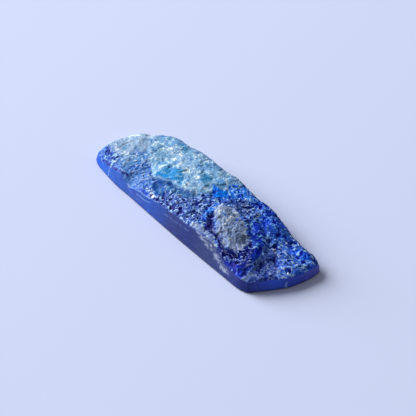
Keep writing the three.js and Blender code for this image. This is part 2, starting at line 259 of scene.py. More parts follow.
CRACK_CLOSES = (6, 4)  # and loses it from here to here before its right end
FLAKE_STEP = 0.4
FLAKE_MIDDLE = (7.3, -0.4)
FLAKE_HALF = (4.2, 2.1)
FLAKE_TURN = -18
FLAKE_EDGE = 0.16
FLAKE_RAGGED = 0.12
FLAKE_CELL = 0.8
FLAKE_SEED = 31
LUMPS = [  # middle, half length and half width, turn in degrees, height
    ((-7.2, -0.8), (1.6, 1.1), -30, -0.16), ((-5.6, -3.8), (1.8, 1.1), -40, -0.22),
    ((-6, -6), (1.4, 0.8), 0, -0.45), ((-9.4, -6.2), (1.6, 0.9), 0, -0.12),
    ((5.6, 3.3), (3, 1.3), 20, -0.3), ((13.6, -3.7), (1.9, 1.3), -35, 0.32),
    ((12.3, -3.4), (0.7, 0.5), 20, -0.4), ((15.9, -1.6), (1.9, 2.6), 15, -0.22),
    ((13.9, 1.8), (0.45, 0.45), 0, -0.3), ((17, 4), (1.7, 1.2), 20, 0.22),
    ((10.4, 4.4), (2.6, 1.2), -12, 0.2), ((-16.6, 0.2), (1.5, 2.4), 10, 0.18),
]
RIDGES = [  # path, reach, height
    ([(8.3, 2.3), (9.8, 1.6), (12.5, 0.7), (13.3, -0.9), (13.9, -2.1)], 1.1, 0.3),
    ([(3.4, -4.6), (6.4, -4.1), (9.1, -4.5), (11.4, -5.4)], 0.75, 0.18),
    ([(4.3, -1.7), (5.6, -2.9), (7.4, -3.6), (9.8, -3.8)], 0.75, -0.45),
    ([(10.6, 2.3), (13.2, 1.6), (14.1, 0.4)], 0.5, -0.2),
]
GRAIN = [(2.1, 0.2, 3), (1, 0.11, 11)]  # cell, height, seed: as on the solid
WEATHERED_FROM, WEATHERED_TO = -9, 1  # left of here the coarse grain has only its weathered share
WEATHERED_SHARE = 0.4
LEVEL_SHARE = 0.6  # how much of a grain's height is its level
TILT_SHARE = 0.9  # and how much its tilt gives, a whole cell out from its middle
SCATTER_STEPS = (127.1, 311.7, 74.7)  # large and uneven, so that neighbours get unlike values
SCATTER_WAVE = 43758.5453


def scatter(i, j, seed):
    """A fixed value from 0 to 1 for whole numbers i, j: what follows the point in a large sine wave."""
    wave = np.sin(i * SCATTER_STEPS[0] + j * SCATTER_STEPS[1] + seed * SCATTER_STEPS[2]) * SCATTER_WAVE
    return wave - np.floor(wave)


def grains(x, y, cell, seed):
    """Height of broken grain at (x, y), about -1 to 1. One site is scattered in each square of a grid of
    cells, and each place takes the level of its nearest site, plus that site's own tilt."""
    column = np.floor(x / cell)
    row = np.floor(y / cell)
    nearest = np.full(x.shape, np.inf)
    height = np.zeros(x.shape)
    for i in (column - 1, column, column + 1):
        for j in (row - 1, row, row + 1):
            dx = x / cell - (i + scatter(i, j, seed))
            dy = y / cell - (j + scatter(i, j, seed + 1))
            distance = dx * dx + dy * dy
            level = scatter(i, j, seed + 2) * 2 - 1
            tilt_x = scatter(i, j, seed + 3) * 2 - 1
            tilt_y = scatter(i, j, seed + 4) * 2 - 1
            grain = LEVEL_SHARE * level + TILT_SHARE * (tilt_x * dx + tilt_y * dy)
            height = np.where(distance < nearest, grain, height)
            nearest = np.minimum(nearest, distance)
    return height


def distance_to(path, x, y):
    """Distance from (x, y) to a broken line: the least of those to its stretches, each found by dropping a
    perpendicular onto the stretch and holding its foot between the two ends."""
    nearest = np.full(np.shape(x), np.inf)
    for (x0, y0), (x1, y1) in zip(path[:-1], path[1:]):
        run = (x1 - x0, y1 - y0)
        foot = ((x - x0) * run[0] + (y - y0) * run[1]) / (run[0] ** 2 + run[1] ** 2)
        foot = np.clip(foot, 0, 1)
        nearest = np.minimum(nearest, np.hypot(x - x0 - foot * run[0], y - y0 - foot * run[1]))
    return nearest


def out_in_ellipse(x, y, middle, half, turn):
    """How far out (x, y) lies in an ellipse turned by so many degrees: 0 at its middle, 1 on its rim."""
    angle = math.radians(turn)
    dx = x - middle[0]
    dy = y - middle[1]
    a = (dx * math.cos(angle) + dy * math.sin(angle)) / half[0]
    b = (dy * math.cos(angle) - dx * math.sin(angle)) / half[1]
    return np.hypot(a, b)


def plate_height(x, y):
    """The raised plate: a smooth step up over the line of the crack, less a bell-shaped groove along it."""
    start = CRACK[0][0]
    finish = CRACK[-1][0]
    begun = smoothstep(x, start - PLATE_FADES[0], start + PLATE_FADES[0])
    ended = smoothstep(x, finish, finish + PLATE_FADES[1])
    climbed = smoothstep(y - along(CRACK, x), 0, PLATE_SLOPE)
    step = PLATE_STEP * along(PLATE_RISE, x) * climbed * begun * (1 - ended)
    opened = smoothstep(x, start + CRACK_OPENS[0], start + CRACK_OPENS[1])
    closed = smoothstep(x, finish - CRACK_CLOSES[0], finish - CRACK_CLOSES[1])
    groove = np.exp(-(distance_to(CRACK, x, y) / CRACK_HALF) ** 2)
    return step - CRACK_DEPTH * groove * opened * (1 - closed)


def flake_height(x, y):
    """The calcite flake: level, with a steep edge where a ragged ellipse ends."""
    ragged = FLAKE_RAGGED * grains(x, y, FLAKE_CELL, FLAKE_SEED)
    out = out_in_ellipse(x, y, FLAKE_MIDDLE, FLAKE_HALF, FLAKE_TURN) + ragged
    return FLAKE_STEP * (1 - smoothstep(out, 1 - FLAKE_EDGE, 1))


def forms(x, y):
    """Height of the forms that the solid has too: the plate, the flake, the lumps as (1 - r * r) ^ 1.5, the
    ridges as (1 - r * r) ^ 2, r being the share of their reach, and the coarse grain."""
    height = plate_height(x, y) + flake_height(x, y)
    for middle, half, turn, rise in LUMPS:
        out = np.minimum(out_in_ellipse(x, y, middle, half, turn), 1)
        height += rise * (1 - out * out) ** 1.5
    for path, reach, rise in RIDGES:
        out = np.minimum(distance_to(path, x, y) / reach, 1)
        height += rise * (1 - out * out) ** 2
    coarse = mix(WEATHERED_SHARE, 1, smoothstep(x, WEATHERED_FROM, WEATHERED_TO))
    for cell, rise, seed in GRAIN:
        height += coarse * rise * grains(x, y, cell, seed)
    return height


# Grains too fine for the solid, and the tones of the rock, from about 0 (dark) to 1 (pale), the darker
# hollows and paler crests being partly the rock's own and partly painted shade and painted highlight.
# Azurite of this kind breaks into grains of 0.1 to 0.6 mm, and those under 0.25 mm are left to the material.
FINE_HEIGHT = 0.075
FINE_CELLS = (0.5, 0.3)
FINE_SEEDS = (41, 53)
KNIT = 0.46  # spacing of the worm-like crests and hollows between them
KNIT_SEED = 97
CREST_ENDS = 0.34  # in units of the noise that is 0 along a crest
HOLLOW = (0.2, 0.7)  # starts and is full, in the same units
FINE_HEIGHTS = (0.8, 0.6, 0.5, -1.1)  # of larger and smaller grains, crests and hollows
# Crests paler and hollows darker: partly the rock's own tone, partly painted highlight and painted shade.
FINE_TONES = (0.2, 0.2, 0.42, -0.42)  # what the same four add to the middle tone
MIDDLE_TONE = 0.48
PATCH = 1.8  # width of the paler and darker patches of the weathered rock
PATCH_SEED = 99
PATCH_TONE = 0.2
VEIN_SPACING = 2
VEIN_ENDS = 0.16
VEIN_SEED = 103
VEIN_TONE = 0.36
SPECK = 0.5
SPECK_SEED = 107
SPECK_TONE = 0.3
FAN_FOOT = (7.4, -3.1)  # where the streaks of the calcite flake run together
FAN_STREAK = 0.13  # radians between two streaks
FAN_REACH = 1.6  # mm along a streak before it changes
FAN_SEED = 109
FAN_TONE = 0.55
FAN_CONTRAST = 0.4
OCTAVE_TURN = 0.6  # radians that the first octave of a noise is turned by, and each next one by 1 more


def clouds(x, y, size, seed, octaves=3):
    """Smooth noise of about -1 to 1: scattered values at the corners of a grid of this size, blended between
    them by an S curve, plus further octaves that are each half as wide, half as strong and turned."""
    total = np.zeros(np.shape(x))
    strength = 1
    for octave in range(octaves):
        turn = OCTAVE_TURN + octave
        u = (x * math.cos(turn) - y * math.sin(turn)) / size
        v = (x * math.sin(turn) + y * math.cos(turn)) / size
        i = np.floor(u)
        j = np.floor(v)
        a = smoothstep(u - i, 0, 1)
        b = smoothstep(v - j, 0, 1)
        near = mix(scatter(i, j, seed + octave), scatter(i + 1, j, seed + octave), a)
        far = mix(scatter(i, j + 1, seed + octave), scatter(i + 1, j + 1, seed + octave), a)
        total += strength * (mix(near, far, b) * 2 - 1)
        strength *= 0.5
        size *= 0.5
    return total


def fine_grain(x, y):
    """The fine broken grain, as a height in units of its largest grain and a tone. Worm-like crests run
    where a soft noise crosses zero, with hollows on its low side only, and two sizes of grain are added."""
    larger, smaller = (grains(x, y, cell, seed) for cell, seed in zip(FINE_CELLS, FINE_SEEDS))
    knit = clouds(x, y, KNIT, KNIT_SEED, 2)
    crest = 1 - smoothstep(np.abs(knit), 0, CREST_ENDS)
    hollow = smoothstep(-knit, *HOLLOW)
    kinds = (larger, smaller, crest, hollow)
    height = sum(share * kind for share, kind in zip(FINE_HEIGHTS, kinds))
    tone = sum((share * kind for share, kind in zip(FINE_TONES, kinds)), MIDDLE_TONE)
    return height, tone


def veined_tone(x, y):
    """The tone of the smoother, weathered rock: soft patches and specks, and thin pale veins where a rough
    noise crosses zero."""
    vein = 1 - smoothstep(np.abs(clouds(x, y, VEIN_SPACING, VEIN_SEED)), 0, VEIN_ENDS)
    patch = clouds(x, y, PATCH, PATCH_SEED)
    speck = clouds(x, y, SPECK, SPECK_SEED, 2)
    return MIDDLE_TONE + PATCH_TONE * patch + VEIN_TONE * vein + SPECK_TONE * speck


def fan_tone(x, y):
    """The tone of the calcite flake: pale and grey streaks of noise that run out like a fan from a place at
    its front, as its cleavage does, narrow across (measured by angle) and long outwards."""
    angle = np.arctan2(y - FAN_FOOT[1], x - FAN_FOOT[0])
    outwards = np.hypot(y - FAN_FOOT[1], x - FAN_FOOT[0])
    streak = clouds(angle / FAN_STREAK, outwards / FAN_REACH, 1, FAN_SEED, 2)
    return FAN_TONE + FAN_CONTRAST * streak


# Where the rock changes colour and grain, seen from above, from the first laid down to the last
ZONES = []


def zone(name, gap, body, crest, grain, veined, **places):
    """Lays down a zone: the colours of its gaps, body and crests, how coarse its grain is (1 as on most of
    the stone), how far its tone is that of veined rock, and its places, all in mm: areas as (outline,
    share), spots as (middle, halves, turn, share) and bands as (path, reach, share)."""
    ZONES.append({"name": name, "gap": gap, "body": body, "crest": crest, "grain": grain, "veined": veined,
                  **places})


PLATE_OUTLINE = [
    (-15.6, 2.2), (-13.8, 0.3), (-12, -0.7), (-10, -1.9), (-8.2, -2.7), (-6.4, -2.38), (-5.2, -1.93),
    (-3.9, -1.66), (-2.5, -1.46), (-1.4, -1.15), (-0.1, -0.6), (0.6, 0.2), (0.9, 1), (0.8, 2.4), (1.3, 4),
    (1.8, 7), (-3, 7), (-9, 7), (-13, 6.5), (-15.8, 4.5),
]
zone("denim", "#347bb6", "#6191c4", "#d4ebf6", 0.55, 0.5, spots=[
    ((-12.4, -3), (4.6, 3.6), 0, 1)])
zone("cornflower", "#265dc1", "#5285cf", "#acbfd8", 0.8, 0.2, fade=0.5, areas=[
    ([(-12.2, -1.6), (-9, -1.9), (-7.6, -2.9), (-6.8, -4), (-6.3, -5.6), (-9, -6.4), (-12.6, -6.2),
      (-12.8, -4)], 1)])
zone("weathered", "#548bb6", "#8ba6c4", "#d4e2ed", 0.2, 0.85, fade=0.6, areas=[
    ([(-20, -3.2), (-17.6, -3.4), (-15.6, -3.9), (-14.4, -3.4), (-14.8, -1.2), (-13, 0), (-12.6, 1.2),
      (-14.2, 3.4), (-17, 3.6), (-20, 2)], 0.95)])
zone("chalk", "#1f66c0", "#78a6ce", "#cbe2f2", 0.35, 0.75, areas=[
    (PLATE_OUTLINE, 1)])
zone("sky_stain", "#238cc6", "#699fd4", "#dff4ff", 0.3, 0.8, spots=[
    ((-12.7, 3.4), (2.6, 2.2), 0, 0.9), ((0.2, 3.2), (1.8, 2.4), 20, 0.8),
    ((-8.6, -0.6), (1.8, 1.3), 0, 0.5)])
zone("frost", "#206fb3", "#8bb1d6", "#f1fdff", 0.3, 0.75, bands=[
    ([(-10.4, 2.6), (-7.6, 2.4), (-6, 1.9), (-4, 1), (-2.2, 0.3)], 1.3, 0.95),
    ([(-16, 2.4), (-15, 1.5), (-14.2, 0.9), (-13.2, 0.3), (-12.3, -0.2), (-11.7, -1)], 0.4, 0.9),
    ([(-15.4, 3.4), (-14.9, 2.2), (-14.6, 1)], 0.3, 0.7), ([(-9, 5.2), (-7, 5)], 0.8, 0.7)], spots=[
    ((-18, 1.2), (1.2, 2), 0, 0.6)])
zone("teal", "#014389", "#2679ab", "#9bd7ff", 0.6, 0.5, spots=[
    ((-2.4, 2.1), (1.7, 1.2), -25, 1), ((-10.3, 4.1), (1.4, 1.1), -20, 1),
    ((-4.6, 4.3), (0.9, 0.7), 0, 0.7), ((-8.1, -0.1), (0.9, 0.6), 0, 0.7),
    ((-10.7, 0.8), (0.7, 0.4), 20, 0.5)])
zone("sky_pocket", "#067fba", "#3388c6", "#7fb2dd", 0.12, 1, crisp=True, areas=[
    ([(-8.1, -2.5), (-8.45, -2), (-8.6, -1.3), (-8.1, -0.4), (-7.4, 0.2), (-6.7, 0.6), (-5.9, 0.6),
      (-4.8, 0.1), (-3.9, -0.6), (-3.3, -1.3), (-3.9, -1.6), (-5.2, -1.85), (-6.4, -2.25),
      (-7.3, -2.45)], 1)])
zone("bright_pocket", "#0263b0", "#0a83d0", "#4bb5fd", 0.12, 1, spots=[
    ((-7.2, -1.8), (1.2, 0.7), 12, 0.9), ((-5.4, -1.5), (0.9, 0.5), -20, 0.9),
    ((-7.2, -0.2), (0.6, 0.3), 0, 0.6)])
zone("bright_azure", "#0328c0", "#1e79e4", "#caedfb", 0.7, 0.25, areas=[
    ([(0.8, 3.4), (1.8, 7), (6, 7), (5.2, 4.8), (3.6, 3.6), (2.7, 2), (2.2, 0.9), (1.6, 2.2)], 1)], bands=[
    ([(2.9, 0.4), (3.3, -0.7), (3.6, -1.9), (4.5, -3.2)], 0.42, 0.8)])
zone("clear_azure", "#021daa", "#017cf2", "#3dc1ff", 0.3, 0.8, crisp=True, areas=[
    ([(-0.5, 2.2), (0.2, 1.4), (0.9, 1.1), (1.6, 0.6), (2, 1.2), (2.5, 2.3), (2, 2.9), (1.1, 2.6),
      (0.3, 2.3)], 0.95)])
zone("granular", "#08147c", "#3658ab", "#a6c9f4", 1.1, 0, fade=0.4, areas=[
    ([(-4.8, -3.2), (-2, -2.4), (0.5, -0.6), (2.6, 0.2), (3, -1.4), (4, -3.4), (4.2, -6),
      (-4.6, -6.4)], 1)])
# Partly the rock's deeper blue, partly painted shade on the slope below the plate's step.
zone("shaded_under_crack", "#032677", "#28619b", "#92b8e0", 0.5, 0.6, areas=[
    ([(-5.2, -2.1), (-3.9, -1.8), (-2.5, -1.6), (-1.4, -1.3), (-0.1, -0.75), (-0.8, -2.1), (-3.2, -3.3),
      (-4.9, -3.2)], 1)])
zone("scoop", "#034c98", "#034fa2", "#4a77a9", 0.1, 1, areas=[
    ([(-7, -2.8), (-5.6, -2.6), (-4.3, -3.9), (-3.9, -4.8), (-5, -4.9), (-6.3, -3.8)], 1)])
zone("dark_hollow", "#050f6f", "#22499a", "#9ab3ed", 1.2, 0, spots=[
    ((5.6, 2.8), (3.4, 2.2), -8, 1), ((8.7, 1.5), (0.7, 0.6), -30, 0.8)])
zone("royal", "#050686", "#0844ce", "#78b1ec", 0.9, 0.1, fade=0.35, areas=[
    ([(5.4, 7), (5.6, 4.6), (7.4, 4.6), (8.8, 3), (9.6, 1.6), (10, 0), (11.4, -0.4), (13.4, -0.9),
      (14.2, -2), (15, -3.4), (14.2, -0.6), (13.2, 0.8), (11.6, 2), (11.6, 4), (12, 7)], 1)])
zone("ridge_blue", "#0408a8", "#0733b3", "#71baea", 0.5, 0.4, bands=[
    ([(9.3, 2), (10.4, 0.9), (12.2, 0.4), (13.3, -0.7), (14, -2)], 0.7, 1)])
zone("mid_blue", "#041696", "#1c55bc", "#6a9fe7", 0.9, 0.2, spots=[
    ((12.6, 3.6), (2, 2.4), 0, 1)])
zone("navy", "#030666", "#0e2087", "#a3c2fa", 1, 0, fade=0.3, areas=[
    ([(11.4, -0.8), (13, -0.9), (14.2, -2.6), (14.6, -5.8), (10.4, -6), (9.6, -4.6), (11.2, -3.4)], 1)])
zone("slate", "#10278e", "#304b98", "#7389c5", 0.9, 0.1, fade=0.4, areas=[
    ([(14, 1.8), (14.1, -0.6), (15.2, -3), (15.6, -6), (17.6, -6), (19, -1.6), (17, 0.6),
      (15.6, 1.8)], 1)])
zone("dark_lump", "#04043d", "#2138c0", "#abbeff", 0.8, 0.2, spots=[
    ((14.1, -3.8), (1.5, 1.2), -35, 1)])
zone("dusting", "#1743c1", "#578cf9", "#e1f5ff", 0.9, 0.1, bands=[
    ([(14.6, 5.6), (14.8, 3.4), (15.4, 1.6)], 0.9, 0.8),
    ([(16.4, 0.8), (17.8, 0.4), (18.4, -0.6)], 0.9, 0.85),
    ([(17.5, 3.5), (18.1, 2.4), (18.5, 1.6)], 0.35, 0.8)])
zone("vivid", "#040697", "#226aff", "#a3d6f5", 0.7, 0.2, spots=[
    ((17, 3.9), (2.1, 1.5), 25, 1)], bands=[
    ([(19.6, 5), (19.8, 0.5)], 0.7, 0.7)])
zone("calcite", "#253684", "#798eb4", "#cdd5d7", 0.8, 0.4, crisp=True, areas=[
    ([(3.4, 0.2), (4, 0.3), (4.5, 0.1), (4.7, 1.1), (5.3, 1.4), (6, 1.1), (6.9, 1.2), (7.4, 0.8),
      (8.3, 0.6), (9, 0.6), (9.6, 0.2), (10.3, -0.3), (11, -0.6), (11.5, -0.9), (11.3, -1.8), (11.4, -2.7),
      (10.9, -3.4), (10, -3.6), (9, -3.5), (8, -3.4), (7.2, -3), (6.6, -2.6), (6, -2.1), (5.2, -1.7),
      (4.4, -1.4), (4, -0.9), (3.4, -0.6)], 1)], bands=[
    ([(4.4, -5), (5.4, -4.7), (6.8, -4.5), (8.2, -4.9), (9.8, -5.4)], 0.5, 0.85)])
zone("calcite_white", "#132ca7", "#95aad7", "#fcfff9", 0.8, 0.4, bands=[
    ([(3.7, 0.1), (4.4, -0.4)], 0.45, 0.95), ([(5, 0.2), (5.2, 1), (6.4, 1)], 0.45, 0.9),
    ([(9.6, -3.3), (10.8, -3.1), (11.2, -2.3), (11.3, -1)], 0.6, 0.85), ([(4.4, -5.1), (5, -5)], 0.3, 0.9),
    ([(7, -2.6), (7.8, -3), (9, -3.3)], 0.3, 0.6)])
zone("flake_blue", "#2655b7", "#3c6ccd", "#b8d9ff", 0.7, 0.4, spots=[
    ((6, -0.7), (0.9, 0.5), -20, 0.95), ((7.9, 0), (0.6, 0.4), -30, 0.95),
    ((6.7, -1.9), (0.5, 0.4), 0, 0.6)])
zone("dark_gap", "#040450", "#192093", "#7c88bb", 0.8, 0, areas=[
    ([(4, -1.2), (5, -1.75), (6, -2.4), (7, -3.2), (8.2, -3.55), (9.8, -3.8), (11, -4.3), (11, -5),
      (9.6, -4.8), (8, -4.4), (6.6, -4.1), (5.2, -3.8), (4.9, -2.9), (4.2, -2.2)], 0.95)])
# Painted shade: a dark line along the crack, at the foot of the plate's step.
zone("crack_shade", "#123a78", "#1c4a8c", "#3f74b0", 0.4, 1, crisp=True, bands=[
    ([(-8.2, -2.85), (-6.4, -2.5), (-5.2, -2.05), (-3.9, -1.8), (-2.5, -1.6), (-1.4, -1.3), (0, -0.75),
      (0.9, -0.15), (1.9, 0.55)], 0.16, 0.75)])
zone("lump_blue", "#0a128a", "#1d37c5", "#82a9f5", 0.6, 0.4, bands=[
    ([(12, -4.9), (13.5, -4.8), (15, -5)], 0.6, 0.85), ([(14.9, -2.8), (15.3, -4.4)], 0.5, 0.7)])
zone("grey_vein", "#3f5a90", "#6079a8", "#94acd4", 0.6, 0.5, bands=[
    ([(15.7, -3.6), (15.8, -4.5), (16.1, -5.1)], 0.4, 0.8)])
zone("ridge_line", "#4a74c8", "#78a2e0", "#b4d0f8", 0.3, 1, crisp=True, bands=[
    ([(13.3, 0.6), (13.9, -0.4), (14.4, -1.3), (15.1, -2.3), (15.4, -3)], 0.14, 0.6),
    ([(4.4, 6), (4.1, 5.3), (3.4, 4.6), (2.6, 3.8)], 0.16, 0.6)])
zone("lip", "#7fb0dc", "#a9cdec", "#def0fb", 0.3, 1, crisp=True, bands=[
    ([(-9.2, -2.45), (-8.2, -2.55), (-6.5, -2.2), (-5.3, -1.75), (-4, -1.45), (-2.6, -1.25), (-1.5, -0.95),
      (-0.2, -0.35), (0.6, 0.2)], 0.09, 0.75), ([(-0.2, 4.2), (1, 3.5), (2.3, 2.8)], 0.14, 0.7),
    ([(-8.5, -1.9), (-8.3, -1)], 0.12, 0.6),
    ([(-10, 1.3), (-8.6, 1.5), (-7.6, 1.8), (-6.6, 1.1), (-5.6, 1), (-5, 1.3)], 0.14, 0.5),
    ([(-7.6, -5.75), (-6.3, -5.7), (-5, -5.6)], 0.1, 0.6),
    ([(-16.4, 0.2), (-15.8, -1.2), (-15.1, -2.6), (-14.5, -3.7)], 0.16, 0.5),
    ([(-15.3, -4.2), (-15, -6)], 0.16, 0.6)])
zone("tip_blue", "#0a34a0", "#1850b8", "#5f8fdc", 0.4, 0.8, bands=[
    ([(-19.4, -4.2), (-18.9, -5.2), (-17, -5.6), (-15.4, -5.8)], 0.6, 1),
    ([(-9, -5.5), (-7.8, -5.5)], 0.3, 0.5)])
zone("edge_line", "#081060", "#142a8c", "#2c4cb4", 0.4, 1, crisp=True, bands=[
    ([(-16.8, -5.4), (-15.9, -5.6), (-15.2, -5.6)], 0.2, 0.85),
    ([(-14.6, -5.65), (-13, -5.65), (-11.8, -5.5), (-11.3, -5.2)], 0.24, 0.9)])
zone("chip_blue", "#0a2ea8", "#1044bc", "#3a70dc", 0.4, 1, crisp=True, bands=[
    ([(-7.6, -5.45), (-6.9, -5.4), (-6.2, -5.45)], 0.26, 0.95)])
zone("back_grey", "#426eaf", "#6a94c7", "#bbd8ef", 0.4, 0.7, bands=[
    ([(-12.2, 5), (-10, 4.9), (-8, 5.6), (-5, 5.7), (-2, 5.5), (0, 5.3)], 0.8, 0.8)])
# Painted shade: a dark line along the right half of the back edge, where the top falls away from the light.
zone("back_edge_shade", "#060d48", "#0a1c74", "#2038a0", 0.5, 1, crisp=True, bands=[
    ([(x * LENGTH, y * WIDTH - 0.04) for x, y, z in BACK_EDGE[8:]], 0.2, 0.85)])
# Painted shade, lighter: a grey-blue line along the left edge and the left half of the back edge.
zone("back_edge_pale_shade", "#4878b0", "#5f8cc0", "#86abd8", 0.5, 1, crisp=True, bands=[
    ([(x * LENGTH + 0.05, y * WIDTH - 0.04) for x, y, z in LEFT_EDGE[2:] + BACK_EDGE[1:9]], 0.22, 0.75)])
zone("left_rim", "#3c628e", "#4c76a6", "#7ba0c8", 0.4, 1, crisp=True, bands=[
    ([(x * LENGTH, y * WIDTH) for x, y, z in LEFT_EDGE[3:] + BACK_EDGE[1:2]], 0.3, 0.8)])
zone("end_rim", "#1c3cc0", "#2f54cc", "#6a8ae0", 0.4, 1, crisp=True, bands=[
    ([(17, -4.8), (17.9, -3.2), (18.7, -1.5), (19.2, 0.1), (19.35, 2.2)], 0.16, 0.8)])
# Dark specks of the rock at the left, and painted shade on the steps between the glints by the chip.
zone("dark_specks_and_step_shade", "#101a3c", "#1c2c58", "#3c4c78", 0.5, 0, spots=[
    ((-14.1, -3.7), (0.5, 0.25), -35, 0.8), ((-14.8, -4.85), (0.35, 0.2), -30, 0.9),
    ((-5.95, -4.8), (0.22, 0.18), 0, 0.8), ((-5.35, -4.95), (0.22, 0.18), 0, 0.9)])
zone("iron_specks", "#1e1816", "#4a3e34", "#8a7666", 0.5, 0, crisp=True, spots=[
    ((-16.5, 1.8), (0.6, 0.3), -25, 0.9), ((14.6, 1.3), (0.3, 0.25), 0, 1),
    ((-6.7, -4.75), (0.2, 0.2), 0, 0.8), ((-5.2, -5.15), (0.2, 0.2), 0, 0.8)])
# Painted glints: white spots where light catches the stepped cleavage by the chip, and one small white speck
# on the right.
zone("glints_and_white_specks", "#ccd0d8", "#eef0f4", "#ffffff", 0.5, 0, crisp=True, spots=[
    ((-7, -4.7), (0.25, 0.2), 0, 1), ((-6.3, -4.85), (0.2, 0.3), 0, 1), ((-5.6, -5.05), (0.25, 0.3), 0, 1),
    ((-4.85, -5.3), (0.35, 0.25), 0, 1), ((14.25, 1.35), (0.2, 0.18), 0, 0.9)])


def inside(outline, x, y):
    """Whether (x, y) is in a closed outline: a ray towards +X crosses its edges an odd number of times."""
    crossings = np.zeros(np.shape(x), int)
    for (x0, y0), (x1, y1) in zip(outline, outline[1:] + outline[:1]):
        if y0 == y1:
            continue
        spans = (y0 > y) != (y1 > y)
        crossings += spans & (x < x0 + (y - y0) / (y1 - y0) * (x1 - x0))
    return crossings % 2 == 1


BEND = (0.5, 0.3)  # how far the border of a zone wanders, in mm: in the weathered left, and right of it
BEND_CHANGES = (-11, -8)
BEND_SIZES = (1.1, 0.35)
BEND_SHARE = 0.35  # of the smaller size
BEND_SEEDS = ((81, 83), (85, 87))
CRISP = 0.25  # share of the bend that a crisp zone gets
FADE = 0.12  # of an area at its outline, unless the zone has its own
SPOT_FADES_FROM = 0.25  # share of a spot's reach
BAND_FADES_FROM = 0.5


def bend(x, y):
    """The places moved about by up to half a millimetre with soft noise, so that a zone drawn on them has
    the uneven border of grown rock. The weathered left is moved furthest, as its colours run together."""
    far = mix(*BEND, smoothstep(x, *BEND_CHANGES))
    bent = []
    for place, (seed, fine_seed) in zip((x, y), BEND_SEEDS):
        wander = clouds(x, y, BEND_SIZES[0], seed) + BEND_SHARE * clouds(x, y, BEND_SIZES[1], fine_seed)
        bent.append(place + far * wander)
    return bent


def zone_share(rock, x, y, bent):
    """How far a place belongs to a zone, 0 to 1: the most that any of its places gives. An area fades over
    its fade at its outline, a spot over the outer three quarters of its reach, and a band over the outer
    half. All are drawn on the bent places, and a crisp zone's on places bent by a quarter of that."""
    crisp = CRISP if rock.get("crisp") else 1
    bent_x, bent_y = mix(x, bent[0], crisp), mix(y, bent[1], crisp)
    fade = rock.get("fade", FADE)
    share = np.zeros(np.shape(x))
    for outline, most in rock.get("areas", []):
        edge = distance_to(outline + outline[:1], bent_x, bent_y)
        signed = np.where(inside(outline, bent_x, bent_y), edge, -edge)
        share = np.maximum(share, most * smoothstep(signed, -fade, fade))
    for middle, half, turn, most in rock.get("spots", []):
        out = out_in_ellipse(bent_x, bent_y, middle, half, turn)
        share = np.maximum(share, most * (1 - smoothstep(out, SPOT_FADES_FROM, 1)))
    for path, reach, most in rock.get("bands", []):
        out = distance_to(path, bent_x, bent_y) / reach
        share = np.maximum(share, most * (1 - smoothstep(out, BAND_FADES_FROM, 1)))
    return share


# The top: the patch between the four top edges, crowned, rounded at the broken edges, with the forms and
# then the fine grain on it. Small chips are missing along the ground edges.
CROWN = 0.25  # how far the middle of the top stands above a line from edge to edge
ROUNDING = 0.25  # how far the broken edges are rounded down
ROUNDING_REACH = 0.6
EDGE_CALM = 0.9  # how far in from the ground walls the relief grows to its full height
CALM_SHARE = 0.35
FINE_CALM = 0.4  # the same for the fine grain
FINE_CALM_SHARE = 0.3
EDGE_ONLY = [(-0.45, 0), (-0.39, 0.02), (-0.311, 0.12), (-0.246, -0.09), (-0.195, 0)]  # the part of the
EDGE_REACH = 1.2  # front's heights that is only a rise and a chip of its edge, and how far in it is felt
CHIP_SIZE = 0.8
CHIP_REACH = 0.3
CHIP_DEPTH = 0.16
CHIP_EDGE = (0.1, 0.7)  # starts and is full, in units of its noise
CHIP_SEED = 91

u = np.linspace(0, 1, ALONG + 1)
v = np.linspace(0, 1, ACROSS + 1)
top = patch(front_top, end_top, back_top, left_top, u, v)
x, y = top[..., 0], top[..., 1]
from_broken = np.minimum((1 - v)[:, None] * WIDTH, u * LENGTH)
from_ground = np.minimum(v[:, None] * WIDTH, (1 - u) * LENGTH)
calm = mix(CALM_SHARE, 1, smoothstep(from_ground, 0, EDGE_CALM))
coarse = np.ones(x.shape)
bent = bend(x, y)
for rock in ZONES:
    coarse = mix(coarse, rock["grain"], zone_share(rock, x, y, bent))
grain = fine_grain(x, y)[0]
chipped = smoothstep(clouds(x, y, CHIP_SIZE, CHIP_SEED), *CHIP_EDGE)
chipped = chipped * (1 - smoothstep(from_ground, 0, CHIP_REACH))
edge_only = along(EDGE_ONLY, front_foot[:, 0] / LENGTH) * FACE_HEIGHT
inward = v[:, None] * WIDTH
top[..., 2] += edge_only * (np.exp(-(inward / EDGE_REACH) ** 2) - (1 - v[:, None]))
top[..., 2] += CROWN * np.sin(math.pi * v)[:, None] * np.sin(math.pi * u)
top[..., 2] += ROUNDING * (1 - np.exp(-from_broken / ROUNDING_REACH)) * calm
top[..., 2] += forms(x, y) * calm
fine_calm = mix(FINE_CALM_SHARE, 1, smoothstep(from_ground, 0, FINE_CALM))
top[..., 2] += FINE_HEIGHT * grain * coarse * fine_calm
top[..., 2] -= CHIP_DEPTH * chipped

# The rim of the ground walls slides up or down the wall to its new height, and the next few rows with it.
RIM_ROWS = 4
FOOT_EASE = 0.25  # worn edge between the walls and the underside
slide = -outward(ground_foot) * (lean / (ground_height - FOOT_EASE))[:, None]
for row in range(RIM_ROWS):
    share = 1 - row / RIM_ROWS
    front_rise = top[0, :, 2] - front_top[:, 2]
    end_rise = top[:, -1, 2] - end_top[:, 2]
    top[row, :, :2] += (share * front_rise[:, None] * slide[:ALONG + 1])[:, :2]
    top[1:, -1 - row, :2] += (share * end_rise[:, None] * slide[ALONG:])[1:, :2]

# The walls: rows of points down from the rim, uneven on the broken sides, with a worn foot. Ring numbers
# run anticlockwise, as the rim of the top does: the front, the right end, the back, the left end.
WALL_ROWS = 16
EASE_ROWS = 3
WALL_CELL = 1.6  # coarse facets of the broken walls, as on the solid
WALL_HEIGHT = 0.42
WALL_SEED = 23
FOOT_CALM = 0.25  # share of the wall over which its fine grain fades out towards the foot

